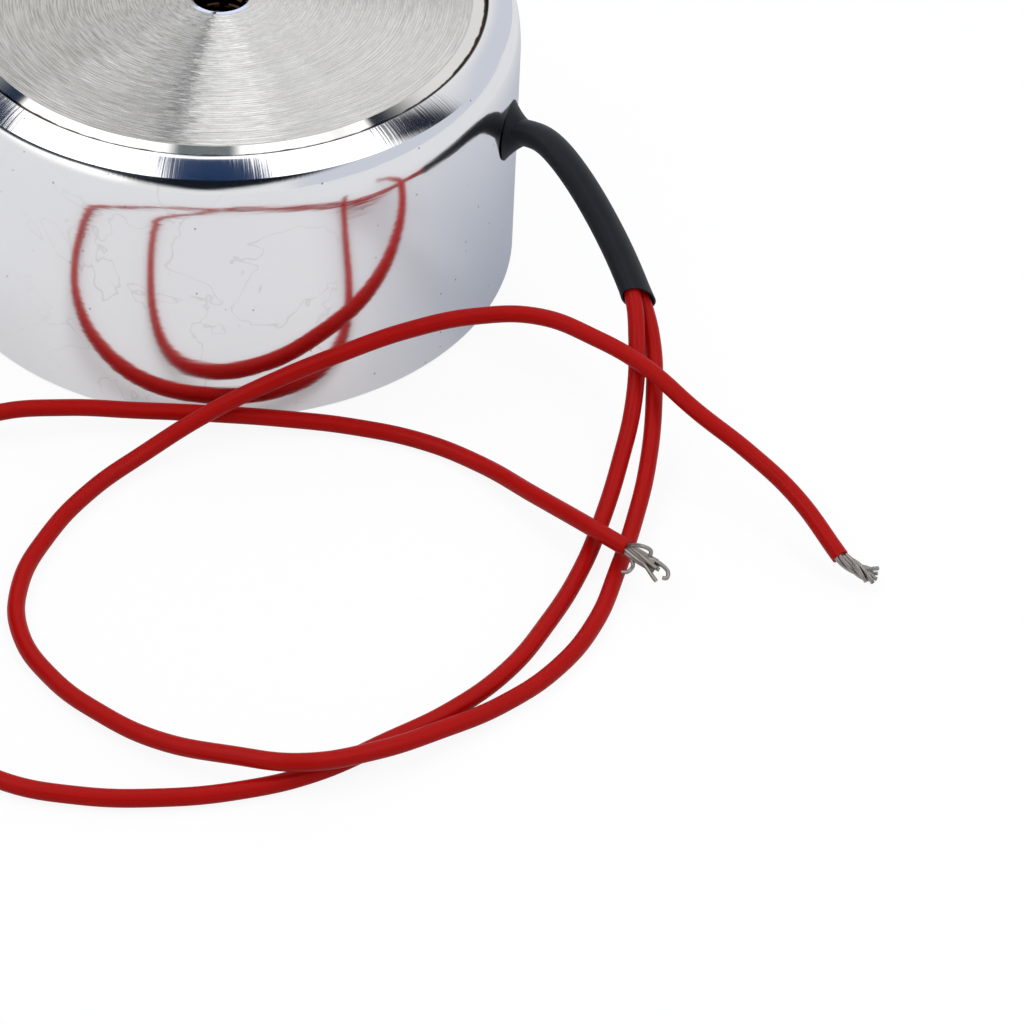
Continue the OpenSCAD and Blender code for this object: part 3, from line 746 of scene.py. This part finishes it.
# %% Bushing
# Rings of the bushing: distance out of the wall, then half its size along and across the pair of leads.
FLARE = [
    (-3.4, 1.92, 1.92), (-0.08, 1.92, 1.92), (-0.06, 2.5, 2.5), (0, 2.58, 2.58), (0.06, 2.5, 2.48),
    (0.3, 2.27, 2.16), (0.62, 2.05, 1.78), (1, 1.88, 1.41), (1.35, 1.78, 1.14), (1.65, 1.72, 1.02),
    (1.5, 1.5, 0.8), (-3.4, 1.5, 0.8),
]
deselect()
bpy.ops.mesh.primitive_circle_add(vertices=64, radius=MM)
bushing = bpy.context.active_object
bushing.name = "lead_bushing"
bpy.ops.object.mode_set(mode="EDIT")
bpy.ops.mesh.select_all(action="SELECT")
far, wide, high_part = FLARE[0]
bpy.ops.transform.resize(value=(wide, high_part, 1))
bpy.ops.transform.translate(value=(0, 0, far * MM))
for place, width, height in FLARE[1:]:
    bpy.ops.mesh.extrude_region_move(TRANSFORM_OT_translate={"value": (0, 0, (place - far) * MM)})
    bpy.ops.transform.resize(value=(width / wide, height / high_part, 1), center_override=(0, 0, place * MM))
    far, wide, high_part = place, width, height
bpy.ops.mesh.select_mode(type="EDGE")
bpy.ops.mesh.select_all(action="DESELECT")
bpy.ops.mesh.select_non_manifold()
bpy.ops.mesh.bridge_edge_loops()
bpy.ops.mesh.select_mode(type="VERT")
bpy.ops.mesh.select_all(action="SELECT")
pair_across = squared(PAIR_DIRECTION, OUTWARD)
exit_frame = Matrix((pair_across, OUTWARD.cross(pair_across), OUTWARD)).transposed()
turn_ring(exit_frame, (0, 0, 0))
bpy.ops.transform.translate(value=EXIT_POINT)
tidy_mesh(40)
stands = [(v.co - EXIT_POINT).dot(OUTWARD) / MM for v in bushing.data.vertices]
print("bushing from the wall, mm:", round(min(stands), 2), "to", round(max(stands), 2))
dress(bushing, black, "lead_grommet")

# %% [markdown]
# ## Bare strands
# Each lead ends in bare tinned strands: one bundle is frayed and the other still twisted. Each strand
# is a thin curve of its own, laid round a common axis and turned to a mesh. One thick cylinder would
# not show the lay.

# %% Strands
STRAND_RADIUS = 0.17 * MM
STRAND_STEPS = 24
STRAY_STEPS = 20
SHORTEST = 0.82
GOLDEN = math.pi * (3 - math.sqrt(5))
END_A = [
    (30.3, -44.45, 3.2), (30.7, -44.9, 3.2), (31.7, -46.0, 3.15), (32.44, -46.6, 3.0),
    (33.04, -46.97, 2.9),
]
EXTRA_A = [
    [
        (30.6, -44.8, 3.3), (31.72, -45.88, 3.3), (32.67, -46.48, 3.35), (33.26, -46.96, 3.2),
        (33.63, -47.33, 2.9), (33.51, -47.8, 2.7), (33.21, -47.67, 2.6),
    ],
    [
        (30.6, -44.85, 3.1), (31.54, -46.11, 3.1), (32.02, -46.93, 3.0), (32.29, -47.41, 2.8),
        (32.64, -48.0, 2.6),
    ],
    [
        (30.5, -44.7, 3.5), (30.84, -45.02, 3.6), (31.25, -45.35, 4.0), (31.9, -45.81, 4.2),
        (32.37, -45.96, 3.9), (32.23, -46.11, 3.4), (31.68, -46.22, 3.2),
    ],
    [
        (30.5, -44.7, 3.0), (30.71, -45.08, 2.9), (31.03, -46.02, 2.6), (30.87, -46.27, 2.3),
        (30.54, -46.49, 2.2), (30.16, -46.37, 2.1),
    ],
]
END_B = [
    (47.3, -44.7, 2.2), (47.6, -45.2, 2), (48.6, -45.95, 1.7), (49.45, -46.55, 1.4),
    (50.3, -47.0, 1.05),
]
EXTRA_B = [
    [
        (48.5, -45.8, 1.9), (49.51, -46.35, 1.7), (50.14, -46.36, 1.75), (50.5, -46.3, 1.7),
    ],
]


def strand_bundle(name, axis, extra, count, core, flare, twist):
    """Strands laid round an axis with a twist, each cut at its own length, plus single stray ones."""
    line = smooth_path([Vector(p) * MM for p in axis], STRAND_STEPS)
    paths = []
    for k in range(count):
        reach = core * math.sqrt((k + 0.5) / count) * MM
        length = int(STRAND_STEPS * (SHORTEST + (1 - SHORTEST) * math.cos(2.4 * k) ** 2))
        path = []
        for i in range(length + 1):
            t = i / STRAND_STEPS
            turned_by = k * GOLDEN + twist * t
            around_axis = path_frame(line, i, Vector((0, 0, 1)))
            offset = Vector((math.cos(turned_by), math.sin(turned_by), 0)) * reach * (1 + flare * t ** 3)
            path.append(line[i] + around_axis @ offset)
        paths.append(path)
    paths += [smooth_path([Vector(p) * MM for p in stray], STRAY_STEPS) for stray in extra]
    data = bpy.data.curves.new(name, "CURVE")
    data.dimensions = "3D"
    data.bevel_depth = STRAND_RADIUS
    data.bevel_resolution = 3
    data.use_fill_caps = True
    for path in paths:
        spline = data.splines.new("POLY")
        spline.points.add(len(path) - 1)
        for point, place in zip(spline.points, path):
            point.co = (*place, 1)
    made = bpy.data.objects.new(name, data)
    bpy.context.scene.collection.objects.link(made)
    deselect()
    made.select_set(True)
    bpy.context.view_layer.objects.active = made
    bpy.ops.object.convert(target="MESH")
    bpy.ops.object.mode_set(mode="EDIT")
    tidy_mesh(50)
    return made


# Tinned copper is a dull silver, with darker spots where air has reached the copper.
tinned = mottled("tinned_copper_drawn", "#8F8A85", "#B7B2AD", 0.5, Metallic=1.0, Roughness=0.35)
strands = {
    "a": strand_bundle("strands_a_frayed", END_A, EXTRA_A, 8, 0.46, 0.1, 1.6),
    "b": strand_bundle("strands_b_twisted", END_B, EXTRA_B, 9, 0.44, 0.8, 4.6),
}
for side, bundle in strands.items():
    dress(bundle, tinned, f"strands_{side}")

# %% [markdown]
# ## Pieces inside the pot
# The coil, its tape, its joints and their sleeves are hidden, so they keep the shapes of the
# construction. Each still gets the finish of its real material, because a later scene may open or cut
# the part.

# %% Pieces inside the pot
# Two tones of each hidden finish, the spacing of its mottling in mm, its roughness and how metallic it is.
INSIDE = {
    "ivory_nylon_moulded": (["bobbin"], "#E8E2CF", "#D8D0B8", 4, 0.45, 0),
    "enamelled_copper_wound": (["coil_winding", "coil_start", "coil_finish"],
                               "#B5682F", "#8C4A1E", 0.4, 0.3, 1),
    "amber_polyester_tape": (["coil_tape"], "#D9A441", "#C48E2E", 3, 0.25, 0),
    "tin_solder_set": (["solder_joint_a", "solder_joint_b"], "#C9C9C6", "#A9A9A6", 0.8, 0.3, 1),
    "glass_fibre_sleeving": (["splice_sleeve_a", "splice_sleeve_b"], "#F1EAD8", "#DDD3BC", 0.5, 0.7, 0),
    "tinned_copper_tails": (["lead_tail_a", "lead_tail_b"], "#C4C2BD", "#9D9B96", 0.6, 0.35, 1),
}
for finish, (nodes, light, dark, spacing, roughness, metal) in INSIDE.items():
    made = mottled(finish, dark, light, spacing, Roughness=roughness, Metallic=metal)
    for node in nodes:
        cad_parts[node].data.materials.clear()
        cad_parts[node].data.materials.append(made)
    print(finish, "on", nodes)

# %% [markdown]
# ## What the cords are
# The names of the two lead cords are printed.

# %% Cords
print("cords:", [lead.name for lead in leads.values()])

# %% [markdown]
# ## Table
# The magnet lies on a white table with hardly a shadow. Plain white paint would turn grey in this
# light, so most of the white is the table's own glow, and the rest is paint that keeps the faint shadow
# under the leads.

# %% Floor
FLOOR_SIZE = 4
CAMERA_GLOW = 0.9
CAMERA_TONE = 0.13
MIRROR_GLOW = 0.3
MIRROR_TONE = 0.63
BOUNCE_TONE = 0.45
SHADE_REACH = 2.6 * POT_RADIUS
SHADE_WAY = (1, 0.2, 0)
SHADE_TURN = (0.2, 0.9)
deselect()
bpy.ops.mesh.primitive_plane_add(size=FLOOR_SIZE)
floor = bpy.context.active_object
floor.name = "floor"
white, tree, out = new_material("white_table")
rays = add(tree, "LightPath")
to_camera = rays.outputs["Is Camera Ray"]
to_mirror = rays.outputs["Is Glossy Ray"]
# Mirrors see the shade that the pot throws to its right, which the camera's white hides.
spot = add(tree, "TexCoord").outputs["Object"]
away = add(tree, "VectorMath", {0: spot}, operation="LENGTH")
close = add(tree, "MapRange", {"Value": away.outputs["Value"], "From Min": POT_RADIUS,
                               "From Max": SHADE_REACH, "To Min": 1.0, "To Max": 0.0})
way = add(tree, "VectorMath", {0: spot}, operation="NORMALIZE")
right = add(tree, "VectorMath", {0: way.outputs[0], 1: SHADE_WAY}, operation="DOT_PRODUCT")
rightward = add(tree, "MapRange", {"Value": right.outputs["Value"], "From Min": SHADE_TURN[0],
                                   "From Max": SHADE_TURN[1]})
shade = add(tree, "Math", {0: close.outputs[0], 1: rightward.outputs[0]}, operation="MULTIPLY")
mirrored = add(tree, "Math", {0: shade.outputs[0], 1: to_mirror}, operation="MULTIPLY")
tint = add(tree, "Mix", {"Factor": mirrored.outputs[0], "A": (1, 1, 1, 1), "B": linear("#C4CAD6")},
           data_type="RGBA")
# Most of the table's white is its own glow for the camera, and a smaller share for mirrors.
seen = add(tree, "Math", {0: to_mirror, 1: MIRROR_GLOW}, operation="MULTIPLY")
share = add(tree, "Mix", {"Factor": to_camera, "A": seen.outputs[0], "B": CAMERA_GLOW}, data_type="FLOAT")
body_tone = add(tree, "Mix", {"Factor": rays.outputs["Is Diffuse Ray"], "A": MIRROR_TONE, "B": BOUNCE_TONE},
                data_type="FLOAT")
tone = add(tree, "Mix", {"Factor": to_camera, "A": body_tone.outputs["Result"], "B": CAMERA_TONE},
           data_type="FLOAT")
toned = add(tree, "VectorMath", {0: tint.outputs["Result"], "Scale": tone.outputs["Result"]},
            operation="SCALE")
paint = add(tree, "BsdfDiffuse", {"Color": toned.outputs[0]})
glow = add(tree, "Emission", {"Color": tint.outputs["Result"], "Strength": share.outputs["Result"]})
table = add(tree, "AddShader", {0: paint.outputs[0], 1: glow.outputs[0]})
tree.links.new(table.outputs[0], out.inputs["Surface"])
floor.data.materials.append(white)
print("table:", white.name)

# %% [markdown]
# ## Studio
# Bright plating shows the whole room, so the room itself is the light: white sheets, dark gaps between
# them and a dim wall. Lamps would show as spots, so the room is made of soft panels, each a part of the
# sky.

# %% Studio
# Each panel: its colour, its strength, and the planes it lies between. A plane is a direction, its least
# reach and its soft edge. A later panel hides an earlier one.
PANELS = {
    "cool room to the right": ("#CDD1DA", 1.0, [
        ((1, 0, 0), 0.4, 0.1), ((0, 0, -1), -0.7, 0.1),
    ]),
    "bright window to the left": ("#FFFFFF", 1.6, [
        ((-1, 0, 0), 0.55, 0.1), ((0, 0, 1), 0.2, 0.2),
    ]),
    "dim behind to the left": ("#FFFFFF", 0.68, [
        ((-1, 0.315, 0), 0.268, 0.03), ((0, 1, 0), 0.5, 0.1),
    ]),
    "left edge of the tent": ("#22304A", 1.0, [
        ((-1, 0.916, 0), 0.828, 0.012), ((1, -1.4, 0), -1.25, 0.1), ((0, 1, 0), 0.1, 0.1),
        ((0, 0, 1), 0.45, 0.05),
    ]),
    "right edge of the tent": ("#1A2030", 1.0, [
        ((1, 0.706, 0), 0.583, 0.012), ((-1, -1.45, 0), -1.088, 0.08), ((0, 1, 0), 0.1, 0.1),
        ((0, 0, 1), 0.45, 0.05),
    ]),
    "tent": ("#FFFFFF", 1.6, [
        ((-1, -0.706, 0), -0.583, 0.012), ((1, -0.916, 0), -0.828, 0.012), ((0, 1, 0), -0.5, 0.05),
        ((0, 0, 1), 0.45, 0.05),
    ]),
    "room behind to the right": ("#FFFFFF", 0.9, [
        ((1, 0.24, 0), 0.203, 0.02), ((-0.43, 1, 0), 0.5, 0.02), ((-1, 0, 0), -0.3, 0.06),
    ]),
    "dull strip beside the sheet": ("#FFFFFF", 0.6, [
        ((1, 0.24, 0), 0.203, 0.02), ((-1, -0.65, 0), -0.5175, 0.03), ((0, 1, 0), 0.5, 0.02),
        ((0, -1, 0), -0.81, 0.01),
    ]),
    "side wall of the tent": ("#FFFFFF", 0.7, [
        ((-1, 0.315, 0), 0.268, 0.02), ((0.43, 1, 0), 0.5, 0.02), ((1, 0, 0), -0.22, 0.06),
    ]),
    "dim behind the tent": ("#FFFFFF", 0.42, [
        ((-1, 0.315, 0), 0.268, 0.02), ((0.43, 1, 0), 0.5, 0.02), ((1, -0.7, 0), -0.576, 0.02),
    ]),
    "dim wall far behind": ("#FFFFFF", 0.52, [
        ((1, -0.315, 0), -0.268, 0.01), ((0, 1, 0), 0.81, 0.01), ((-1, 0, 0), -0.3, 0.05),
    ]),
    "sheet behind": ("#FFFFFF", 1.25, [
        ((1, -0.1745, 0), -0.1486, 0.002), ((-1, -0.24, 0), -0.203, 0.03), ((0, 1, 0), 0.5, 0.01),
        ((0, -1, 0), -0.81, 0.005),
    ]),
    "bright wall far behind": ("#FFFFFF", 0.7, [
        ((-1, 0.1745, 0), 0.1486, 0.002), ((1, 0.24, 0), 0.203, 0.03), ((0, 1, 0), 0.81, 0.005),
    ]),
    "gap over the pot": ("#1C3358", 1.0, [
        ((-1, -0.185, 0), -0.116, 0.015), ((1, -0.185, 0), -0.186, 0.015), ((0, 0, 1), 0.5, 0.05),
        ((0, 1, 0), -0.5, 0.05), ((0, -1, 0), -0.37, 0.015),
    ]),
    "gap behind": ("#46545C", 1.0, [
        ((-1, 0, 0), -0.02, 0.015), ((1, 0, 0), -0.08, 0.015), ((0, 1, 0), 0.42, 0.02),
        ((0, -1, 0), -0.5, 0.01),
    ]),
    "bright strip low behind": ("#D5E0FF", 1.2, [
        ((0, 1, 0), 0.9, 0.03), ((0, 0, -1), -0.3, 0.03), ((1, 0, 0), -0.35, 0.05),
        ((-1, 0, 0), -0.35, 0.05),
    ]),
    "stand behind": ("#333E4A", 1.0, [
        ((-1, 0.1745, 0), 0.1486, 0.002), ((1, -0.315, 0), -0.268, 0.012), ((0, 1, 0), 0.5, 0.01),
    ]),
    "stand far behind": ("#333E4A", 1.0, [
        ((1, -0.1745, 0), -0.1486, 0.002), ((-1, 0.315, 0), 0.268, 0.012), ((0, 1, 0), 0.81, 0.005),
    ]),
    "round the camera": ("#10161F", 1.0, [
        ((-0.45, 0, 1), 0.2, 0.09), ((0.42, 0, 1), 0.081, 0.09), ((0, 0, -1), -0.62, 0.04),
        ((0, -1, 0), 0.1, 0.1),
    ]),
    "left of the camera": ("#2A303A", 1.0, [
        ((0, 0.33, 1), 0.17, 0.03), ((-1, 0, 0), 0.35, 0.08), ((0, 0, -1), -0.6, 0.04),
    ]),
}
ROOM = 0.8
world = bpy.data.worlds.new("studio")
world.use_nodes = True
# The light is even, so rays that simply leave the pieces find it as well as rays aimed at it, and sooner.
world.cycles.sampling_method = "NONE"
bpy.context.scene.world = world
tree = world.node_tree
tree.nodes.clear()
ways = add(tree, "TexCoord").outputs["Generated"]
colour = (ROOM, ROOM, ROOM, 1)
for shade, strength, planes in PANELS.values():
    mask = 1.0
    for normal, least, soft in planes:
        side = add(tree, "VectorMath", {0: ways, 1: normal}, operation="DOT_PRODUCT")
        part = add(tree, "MapRange", {"Value": side.outputs["Value"], "From Min": least - soft,
                                      "From Max": least + soft}, interpolation_type="SMOOTHSTEP")
        mask = add(tree, "Math", {0: mask, 1: part.outputs[0]}, operation="MULTIPLY").outputs[0]
    lit = (*[c * strength for c in linear(shade)[:3]], 1)
    mixed = add(tree, "Mix", {"Factor": mask, "A": colour, "B": lit}, data_type="RGBA")
    colour = mixed.outputs["Result"]
rays = add(tree, "LightPath")
plain = add(tree, "Background", {"Color": (1, 1, 1, 1), "Strength": 1.0})
studio = add(tree, "Background", {"Color": colour, "Strength": 1.0})
both = add(tree, "MixShader", {0: rays.outputs["Is Camera Ray"], 1: studio.outputs[0], 2: plain.outputs[0]})
add(tree, "OutputWorld", {"Surface": both.outputs[0]})
print("panels:", len(PANELS))

# %% [markdown]
# ## View
# Colours are shown as they are, with no film curve.

# %% View and finish
bpy.context.scene.view_settings.view_transform = "Standard"
